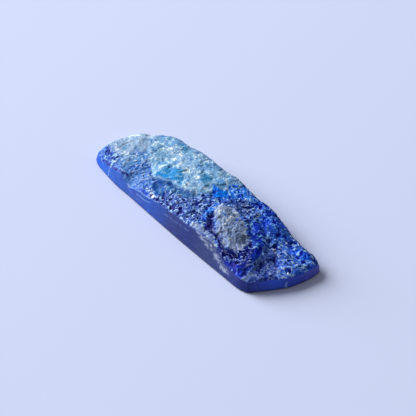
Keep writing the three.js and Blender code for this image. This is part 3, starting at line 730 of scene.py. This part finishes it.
corner_numbers = np.arange(top.shape[0] * top.shape[1]).reshape(top.shape[:2])
rim_numbers = np.concatenate([
    corner_numbers[0, :-1], corner_numbers[:-1, -1],
    corner_numbers[-1, :0:-1], corner_numbers[:0:-1, 0],
])
rim = top.reshape(-1, 3)[rim_numbers]
foot = np.vstack([front_foot[:-1], end_foot[:-1], back_foot[:0:-1], left_foot[:0:-1]])
ring_size = len(rim)
ring = np.arange(ring_size)
out = outward(np.vstack([foot[-FINER:], foot, foot[:FINER]]))[FINER:-FINER]
broken = np.clip(np.minimum(ring - (ALONG + ACROSS), ring_size - ring) / CORNER_FADE, 0, 1)
around = ring * LENGTH / ALONG
worn_foot = foot + (0, 0, FOOT_EASE)
rows = []
wall_tone = []
for down in np.linspace(0, 1, WALL_ROWS + 1)[1:]:
    row = mix(rim, worn_foot, down)
    coarse_facets = np.abs(grains(around, row[:, 2], WALL_CELL, WALL_SEED))
    fine, fine_tone = fine_grain(around, row[:, 2])
    inset = WALL_HEIGHT * coarse_facets * math.sin(math.pi * down)
    inset = inset - FINE_HEIGHT * fine * min(1, (1 - down) / FOOT_CALM)
    rows.append(row - out * (inset * broken)[:, None])
    wall_tone.append(fine_tone)
for step in np.linspace(0, 1, EASE_ROWS + 1)[1:]:
    angle = step * math.pi / 2
    inset = FOOT_EASE * (1 - math.cos(angle))
    row = foot - out * inset
    row[:, 2] = FOOT_EASE * (1 - math.sin(angle))
    rows.append(row)
    wall_tone.append(fine_tone)

# The underside: a sawn plane, as a coarse grid a little way in from the last ring, joined to it.
COARSER = 10  # quads of the top to one of this grid
INNER = 0.03  # share of the width at which the grid starts, and along the length a third of it
sole = rows[-1]
sole_front, sole_end = sole[:ALONG + 1], sole[ALONG:ALONG + ACROSS + 1]
sole_back = sole[ALONG + ACROSS:2 * ALONG + ACROSS + 1][::-1]
sole_left = np.vstack([sole[2 * ALONG + ACROSS:], sole[:1]])[::-1]
plane = patch(sole_front, sole_end, sole_back, sole_left, u, v)
inner_u = np.linspace(INNER / 3, 1 - INNER / 3, ALONG // COARSER + 1)
inner_v = np.linspace(INNER, 1 - INNER, ACROSS // COARSER + 1)
pick_u = np.rint(inner_u * ALONG).astype(int)
pick_v = np.rint(inner_v * ACROSS).astype(int)
plane = plane[np.ix_(pick_v, pick_u)]

points = np.vstack([top.reshape(-1, 3), *rows, plane.reshape(-1, 3)])
points = np.clip(points, np.array(box_low) / MM, np.array(box_high) / MM)

# Faces as corner numbers, anticlockwise seen from outside, each with its place on the flat map: the top
# and the underside as seen from above, and the walls unrolled into strips beside them.
MAP_SCALE = 1 / 41  # the map is a square of 41 mm
MAP_MIDDLE = (20.5, 6.5)  # of the stone, from the map's corner
MARGIN = 0.01
SOLE_LIFT = 0.33
ring_numbers = np.vstack([rim_numbers, len(corner_numbers.ravel()) + np.arange(len(rows) * ring_size)
                          .reshape(len(rows), ring_size)])
plane_numbers = len(points) - plane.shape[0] * plane.shape[1] + np.arange(
    plane.shape[0] * plane.shape[1]).reshape(plane.shape[:2])


def grid_faces(numbers):
    """Quads of a grid of corner numbers: each corner with the next along, the one across from that, and
    its own."""
    return np.stack([numbers[:-1, :-1], numbers[:-1, 1:], numbers[1:, 1:], numbers[1:, :-1]],
                    axis=-1).reshape(-1, 4)


def wall_faces(numbers, columns):
    """Quads of the wall between rings of corner numbers, in these columns, upper ring first."""
    following = (columns + 1) % numbers.shape[1]
    return np.stack([numbers[1:, columns], numbers[1:, following], numbers[:-1, following],
                     numbers[:-1, columns]], axis=-1).reshape(-1, 4)


def plan_map(faces, lift):
    """Place on the map of each corner of flat faces: x and y, moved to the map's own corner and lifted."""
    return (points[faces][..., :2] + MAP_MIDDLE) * MAP_SCALE + (0, lift)


def strip_map(columns, start, lift):
    """Place on the map of each corner of a wall's quads: distance along the wall, and rows down it."""
    left = (columns - start) * LENGTH / ALONG
    right = left + LENGTH / ALONG
    depth = np.arange(len(rows) + 1) * FACE_HEIGHT / len(rows)
    upper, lower = depth[:-1, None], depth[1:, None]
    left, right = left[None], right[None]
    corners = [(left, lower), (right, lower), (right, upper), (left, upper)]
    spread = [np.stack(np.broadcast_arrays(a, b), axis=-1) for a, b in corners]
    return (np.stack(spread, axis=2) * (1, -1)).reshape(-1, 4, 2) * MAP_SCALE + (MARGIN, lift)


top_faces = grid_faces(corner_numbers)
quads = [top_faces]
maps = [plan_map(top_faces, 0)]
for start, finish, shift, lift in (
    (0, ALONG, 0, 0.76), (ALONG, ALONG + ACROSS, 0, 0.97), (ALONG + ACROSS, 2 * ALONG + ACROSS, 0, 0.865),
    (2 * ALONG + ACROSS, ring_size, ACROSS + FINER, 0.97),
):
    columns = np.arange(start, finish)
    quads.append(wall_faces(ring_numbers, columns))
    maps.append(strip_map(columns, start - shift, lift))
plane_faces = grid_faces(plane_numbers)[:, ::-1]
quads.append(plane_faces)
maps.append(plan_map(plane_faces, SOLE_LIFT))

sole_ring = ring_numbers[-1]
plane_ring = np.concatenate([
    plane_numbers[0, :-1], plane_numbers[:-1, -1],
    plane_numbers[-1, :0:-1], plane_numbers[:0:-1, 0],
])
following = (ring + 1) % ring_size
nearest = (ring + COARSER // 2) // COARSER % len(plane_ring)
changes = np.flatnonzero(nearest != nearest[following])
triangles = np.vstack([
    np.stack([sole_ring[following], sole_ring, plane_ring[nearest]], axis=1),
    np.stack([sole_ring[following[changes]], plane_ring[nearest[changes]],
              plane_ring[nearest[following[changes]]]], axis=1),
])
quads = np.vstack(quads)
maps = np.vstack([np.vstack(maps).reshape(-1, 2), plan_map(triangles, SOLE_LIFT).reshape(-1, 2)])
loops = np.concatenate([quads.ravel(), triangles.ravel()])
sizes = np.concatenate([np.full(len(quads), 4), np.full(len(triangles), 3)])
starts = np.concatenate([[0], np.cumsum(sizes)[:-1]])

mesh = bpy.data.meshes.new("slab")
mesh.vertices.add(len(points))
mesh.vertices.foreach_set("co", (points * MM).ravel())
mesh.loops.add(len(loops))
mesh.loops.foreach_set("vertex_index", loops.astype(np.int32))
mesh.polygons.add(len(sizes))
mesh.polygons.foreach_set("loop_start", starts.astype(np.int32))
mesh.update(calc_edges=True)
mesh.validate()
mesh.uv_layers.new(name="OFBake").data.foreach_set("uv", maps.ravel())
mesh.polygons.foreach_set("use_smooth", np.ones(len(sizes), bool))


def keep_on_mesh(name, values):
    """Gives each corner of the mesh a number that the material reads by name."""
    mesh.attributes.new(name, "FLOAT", "POINT").data.foreach_set("value", values.astype(np.float32))


FAINTER_BELOW = 0.5  # of the zones on the underside
FAN_SHARE = 0.6

# The colours bend over the broken edges: so far down the wall, they are those so far in from its edge.
on_ground_wall = np.zeros(len(points))
wall_places = slice(len(corner_numbers.ravel()), len(points) - plane.shape[0] * plane.shape[1])
seen_from_above = points[:, :2].copy()
seen_from_above[wall_places] -= np.vstack([
    out[:, :2] * ((rim[:, 2] - row[:, 2]) * broken)[:, None] for row in rows])
x, y = seen_from_above.T
on_ground_wall[wall_places] = np.tile(1 - broken, len(rows))
on_ground_wall[rim_numbers] = np.where(broken < 0.5, 0.5, 0)  # half, as the rim belongs to the top too
on_sole = np.zeros(len(points))
on_sole[plane_numbers.ravel()] = 1
on_sole[sole_ring] = 1
tones = fine_grain(x, y)[1]
tones[wall_places] = np.concatenate(wall_tone)
veined = np.zeros(len(points))
bent = bend(x, y)
for rock in ZONES:
    share = zone_share(rock, x, y, bent)
    keep_on_mesh("zone_" + rock["name"], share * (1 - FAINTER_BELOW * on_sole))
    veined = mix(veined, rock["veined"], share)
    if rock["name"] == "calcite":
        calcite_there = share
tones = mix(tones, veined_tone(x, y), veined)
tones = mix(tones, fan_tone(x, y), FAN_SHARE * calcite_there)
keep_on_mesh("tone", tones)
keep_on_mesh("smoother", veined)

# Along the ground walls: place by x on the front and then by y round the end, and the calcite and the pale
# veins that come to the surface there, each drawn over place and height.
WALL_CALCITE = [(5.6, 3.5), (7.3, 3.2), (8.3, 2.8), (9.5, 2.4), (10.8, 1.6), (11.8, 1.4), (12.9, 1.2)]
WALL_CALCITE_REACH = 0.55
WALL_CALCITE_RAGGED = (0.45, 0.4)  # how far the two noises push its border, as shares of that reach
WALL_VEINS = [  # path over place and height, reach, share
    ([(-15.1, 1.7), (-15, 1), (-15.05, 0.2)], 0.16, 0.7), ([(-17.3, 1.5), (-16.9, 0.9)], 0.12, 0.4),
    ([(-8, 1.35), (-6.3, 1.45), (-5, 1.7)], 0.12, 0.6), ([(21.6, 0.95), (21.5, 0.3)], 0.24, 0.9),
    ([(-10.5, 1.2), (-8.2, 0.8), (-5.5, 0.9)], 0.07, 0.3), ([(-2, 1.9), (1.5, 2.2), (4.5, 2.5)], 0.07, 0.3),
]
WALL_FADES_FROM = 0.3
VEIN_WANDER = 0.12  # mm
WALL_STREAKS = (4, 0.9, 113)  # each noise: how many times as long as it is high, its size in mm, its seed
WALL_RAGS = (1.6, 0.45, 115)
WALL_SPECKLE = (2.5, 0.4, 117)
SPECKLE_EDGE = (-0.5, 0.5)  # in units of that noise

wall_x = np.where(number <= ALONG, ground_foot[:, 0],
                  ground_foot[ALONG, 0] + ground_foot[:, 1] - ground_foot[ALONG, 1])
wall_x = np.concatenate([wall_x[:-1], np.full(ring_size - len(wall_x) + 1, wall_x[-1])])
wall_place = np.zeros(len(points))
wall_place[rim_numbers] = wall_x
wall_place[wall_places] = np.tile(wall_x, len(rows))
keep_on_mesh("wall_place", wall_place)


def wall_noise(stretch, size, seed):
    """Soft noise over place and height on a wall, this many times as long as it is high."""
    return clouds(wall_place, points[:, 2] * stretch, size, seed)


streaky = wall_noise(*WALL_STREAKS)
calcite_out = distance_to(WALL_CALCITE, wall_place, points[:, 2]) / WALL_CALCITE_REACH
calcite_out = calcite_out - WALL_CALCITE_RAGGED[0] * streaky
calcite_out = calcite_out - WALL_CALCITE_RAGGED[1] * wall_noise(*WALL_RAGS)
wall_calcite = 1 - smoothstep(calcite_out, WALL_FADES_FROM, 1)
keep_on_mesh("wall_calcite", wall_calcite * smoothstep(wall_noise(*WALL_SPECKLE), *SPECKLE_EDGE))
vein_share = np.zeros(len(points))
for path, reach, most in WALL_VEINS:
    vein_out = distance_to(path, wall_place + VEIN_WANDER * streaky, points[:, 2]) / reach
    vein_share = np.maximum(vein_share, most * (1 - smoothstep(vein_out, WALL_FADES_FROM, 1)))
keep_on_mesh("wall_vein", vein_share)
keep_on_mesh("ground", on_ground_wall)

slab = bpy.data.objects.new("azurite_stone", mesh)
bpy.context.scene.collection.objects.link(slab)

# Massive azurite with calcite, broken on top and ground on two sides. The broken grain gives the eye
# bright crests, dark gaps and small glints, and the ground faces a soft, even satin.
# Gap and crest colours, here and in every zone, are partly the rock's own and partly painted shade in the
# gaps and painted highlight on the crests.
BODY = ("#050b75", "#3564c8", "#9dc5e5")  # gaps, body and crests outside the zones
WALL_COLOURS = [  # by place along the ground walls, in mm: x on the front, and past 16.7 round the end
    (-19.4, "#1244b0"), (-18.6, "#1a50c4"), (-17, "#2f68d1"), (-14, "#3962bc"), (-11, "#3d62bf"),
    (-8, "#3f5bb1"), (-5, "#355bb6"), (-2, "#3552a1"), (0, "#3c4885"), (4, "#313e7e"), (8, "#404c7d"),
    (14, "#3c478a"), (16.2, "#29357c"), (17.4, "#37459e"), (20.2, "#3b60da"), (21.8, "#3a52c0"),
    (23.4, "#4356c6"), (25.8, "#585bc0"),
]
WALL_CALCITE_COLOUR = "#a2adca"
WALL_VEIN_COLOUR = "#86a8e0"
AZURITE_IOR = 1.73
FLECK = 0.3  # mm, grains under the mesh's own
FLECK_PUSH = 0.22  # up or down in tone
MOST_NOISE = (0.3, 0.7)  # most values of a noise node lie between these
GAP_TO_BODY = (0.08, 0.44)  # in tone
BODY_TO_CREST = (0.6, 0.94)
GRINDING = (0.9, 4.5, 1)  # streaks of the ground faces per mm along and up them, drawn coarser than real
STREAKS = (0.72, 1.3)  # darkest and brightest, as shares of the colour
# Painted contact shade: the ground walls are darkened towards their foot, to FOOT_SHADE of their colour at
# the bottom.
FOOT_SHADE_SPAN = (0.08, 0.42)  # mm up, where the dark line at the foot starts to clear and is gone
FOOT_SHADE = 0.3
BROKEN_ROUGHNESS = 0.5
GROUND_ROUGHNESS = 0.34
GLINTS = 5  # per mm
GLINT_BUMP = (0.55, 0.1)  # on broken grain and on smooth faces
GLINT_DEPTH = 0.05


def linear(code):
    """Linear colour of an sRGB hex code: each channel c / 12.92 below 0.04045, else
    ((c + 0.055) / 1.055) ^ 2.4, with an alpha of 1."""
    channels = [int(code[k:k + 2], 16) / 255 for k in (1, 3, 5)]
    return [c / 12.92 if c <= 0.04045 else ((c + 0.055) / 1.055) ** 2.4 for c in channels] + [1]


def node(tree, kind, settings, inputs):
    """Adds a node. settings are its own properties. inputs are values for its sockets, by name or number,
    or sockets of other nodes to link in."""
    made = tree.nodes.new(kind)
    for name, value in settings.items():
        setattr(made, name, value)
    for name, value in inputs.items():
        if isinstance(value, bpy.types.NodeSocket):
            tree.links.new(value, made.inputs[name])
        else:
            made.inputs[name].default_value = value
    return made


stone = bpy.data.materials.new("massive_azurite")
stone.use_nodes = True
tree = stone.node_tree
tree.nodes.clear()
COLOUR = {"data_type": "RGBA", "clamp_factor": True}
place = node(tree, "ShaderNodeTexCoord", {}, {}).outputs["Object"]
place = node(tree, "ShaderNodeVectorMath", {"operation": "SCALE"}, {0: place, "Scale": 1 / MM}).outputs[0]
fleck = node(tree, "ShaderNodeTexNoise", {},
             {"Vector": place, "Scale": 1 / FLECK, "Detail": 3, "Roughness": 0.6}).outputs["Fac"]
tone_there, wall_there, ground, smoother = (
    node(tree, "ShaderNodeAttribute", {"attribute_name": name}, {}).outputs["Fac"]
    for name in ("tone", "wall_place", "ground", "smoother"))
fleck_push = node(tree, "ShaderNodeMapRange", {},
                  {0: fleck, 1: MOST_NOISE[0], 2: MOST_NOISE[1], 3: -FLECK_PUSH, 4: FLECK_PUSH}).outputs[0]
height = node(tree, "ShaderNodeMath", {"operation": "ADD"}, {0: tone_there, 1: fleck_push}).outputs[0]
from_gap, to_crest = (
    node(tree, "ShaderNodeMapRange", {"interpolation_type": "SMOOTHSTEP"},
         {0: height, 1: low, 2: high}).outputs[0]
    for low, high in (GAP_TO_BODY, BODY_TO_CREST))


def three_tone(gap, body, crest):
    """Colour by the height of the grain: gap to body to crest, the darker gap and paler crest being partly
    painted shade and painted highlight.
    """
    lower = node(tree, "ShaderNodeMix", COLOUR,
                 {0: from_gap, 6: linear(gap), 7: linear(body)}).outputs[2]
    return node(tree, "ShaderNodeMix", COLOUR, {0: to_crest, 6: lower, 7: linear(crest)}).outputs[2]


colour = three_tone(*BODY)
for rock in ZONES:
    share = node(tree, "ShaderNodeAttribute", {"attribute_name": "zone_" + rock["name"]}, {})
    tone = three_tone(rock["gap"], rock["body"], rock["crest"])
    colour = node(tree, "ShaderNodeMix", COLOUR,
                  {0: share.outputs["Fac"], 6: colour, 7: tone}).outputs[2]
first, last = WALL_COLOURS[0][0], WALL_COLOURS[-1][0]
along_walls = node(tree, "ShaderNodeMapRange", {}, {0: wall_there, 1: first, 2: last}).outputs[0]
ramp = node(tree, "ShaderNodeValToRGB", {}, {0: along_walls})
for count, (stop, code) in enumerate(WALL_COLOURS):
    share = (stop - first) / (last - first)
    stops = ramp.color_ramp.elements
    element = stops[0] if count == 0 else stops[-1] if share == 1 else stops.new(share)
    element.color = linear(code)
up = node(tree, "ShaderNodeSeparateXYZ", {}, {0: place}).outputs[2]
grinding_place = node(tree, "ShaderNodeCombineXYZ", {}, {0: wall_there, 1: up}).outputs[0]
grinding_place = node(tree, "ShaderNodeVectorMath", {"operation": "MULTIPLY"},
                      {0: grinding_place, 1: GRINDING}).outputs[0]
grinding = node(tree, "ShaderNodeTexNoise", {},
                {"Vector": grinding_place, "Scale": 1, "Detail": 4, "Roughness": 0.65}).outputs["Fac"]
streaks = node(tree, "ShaderNodeMapRange", {},
               {0: grinding, 1: MOST_NOISE[0], 2: MOST_NOISE[1], 3: STREAKS[0], 4: STREAKS[1]}).outputs[0]
# Painted contact shade at the foot of the ground walls, multiplied with the grinding streaks.
painted_foot_shade = node(tree, "ShaderNodeMapRange", {"interpolation_type": "SMOOTHSTEP"},
                 {0: up, 1: FOOT_SHADE_SPAN[0], 2: FOOT_SHADE_SPAN[1], 3: FOOT_SHADE}).outputs[0]
strength = node(tree, "ShaderNodeMath", {"operation": "MULTIPLY"}, {0: streaks, 1: painted_foot_shade}).outputs[0]
ground_colour = node(tree, "ShaderNodeHueSaturation", {}, {"Value": strength, "Color": ramp.outputs[0]})
ground_colour = ground_colour.outputs[0]
for name, code in (("wall_calcite", WALL_CALCITE_COLOUR), ("wall_vein", WALL_VEIN_COLOUR)):
    share = node(tree, "ShaderNodeAttribute", {"attribute_name": name}, {}).outputs["Fac"]
    ground_colour = node(tree, "ShaderNodeMix", COLOUR,
                         {0: share, 6: ground_colour, 7: linear(code)}).outputs[2]
colour = node(tree, "ShaderNodeMix", COLOUR, {0: ground, 6: colour, 7: ground_colour}).outputs[2]
roughness = node(tree, "ShaderNodeMapRange", {},
                 {0: ground, 3: BROKEN_ROUGHNESS, 4: GROUND_ROUGHNESS}).outputs[0]
glint_bump = node(tree, "ShaderNodeTexNoise", {},
                  {"Vector": place, "Scale": GLINTS, "Detail": 4, "Roughness": 0.7}).outputs["Fac"]
smoother = node(tree, "ShaderNodeMath", {"operation": "MAXIMUM"}, {0: smoother, 1: ground}).outputs[0]
bump_strength = node(tree, "ShaderNodeMapRange", {},
                     {0: smoother, 3: GLINT_BUMP[0], 4: GLINT_BUMP[1]}).outputs[0]
bump = node(tree, "ShaderNodeBump", {},
            {"Height": glint_bump, "Strength": bump_strength, "Distance": GLINT_DEPTH * MM}).outputs[0]
shader = node(tree, "ShaderNodeBsdfPrincipled", {"subsurface_method": "RANDOM_WALK"},
              {"Base Color": colour, "Roughness": roughness, "IOR": AZURITE_IOR,
               "Specular IOR Level": 0.05, "Normal": bump, "Subsurface Weight": 0.6,
               "Subsurface Radius": (1, 1, 1), "Subsurface Scale": 0.3 * MM})
node(tree, "ShaderNodeOutputMaterial", {}, {"Surface": shader.outputs[0]})
mesh.materials.append(stone)

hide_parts("azurite_slab")
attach(slab, "root")

# The table: a matt pale sheet of paper, lit by a large soft lamp from the front left and by the room.
TABLE_SIDE = 900
TABLE_COLOUR = "#d2dbfa"
LAMP_FROM = (-0.94, -0.34, 0.53)
LAMP_DISTANCE = 1500
LAMP_SIDE = 1300
LAMP_POWER = 43
ROOM_COLOUR = "#ffffff"
ROOM_STRENGTH = 0.2

half = TABLE_SIDE / 2 * MM
paper = bpy.data.meshes.new("table")
corners = [(-half, -half, 0), (half, -half, 0), (half, half, 0), (-half, half, 0)]
paper.from_pydata(corners, [], [(0, 1, 2, 3)])
table = bpy.data.objects.new("table", paper)
bpy.context.scene.collection.objects.link(table)
matt = bpy.data.materials.new("matt_paper")
matt.use_nodes = True
matt.node_tree.nodes["Principled BSDF"].inputs["Base Color"].default_value = linear(TABLE_COLOUR)
matt.node_tree.nodes["Principled BSDF"].inputs["Roughness"].default_value = 0.9
matt.node_tree.nodes["Principled BSDF"].inputs["Specular IOR Level"].default_value = 0.2
paper.materials.append(matt)

softbox = bpy.data.lights.new("softbox", "AREA")
softbox.shape = "DISK"
softbox.size = LAMP_SIDE * MM
softbox.energy = LAMP_POWER
lamp = bpy.data.objects.new("softbox", softbox)
bpy.context.scene.collection.objects.link(lamp)
aim(lamp, Vector(LAMP_FROM).normalized() * LAMP_DISTANCE * MM, (0, 0, 0))

room = bpy.data.worlds.new("room")
room.use_nodes = True
room.node_tree.nodes["Background"].inputs["Color"].default_value = linear(ROOM_COLOUR)
room.node_tree.nodes["Background"].inputs["Strength"].default_value = ROOM_STRENGTH
bpy.context.scene.world = room
bpy.context.scene.view_settings.view_transform = "Standard"
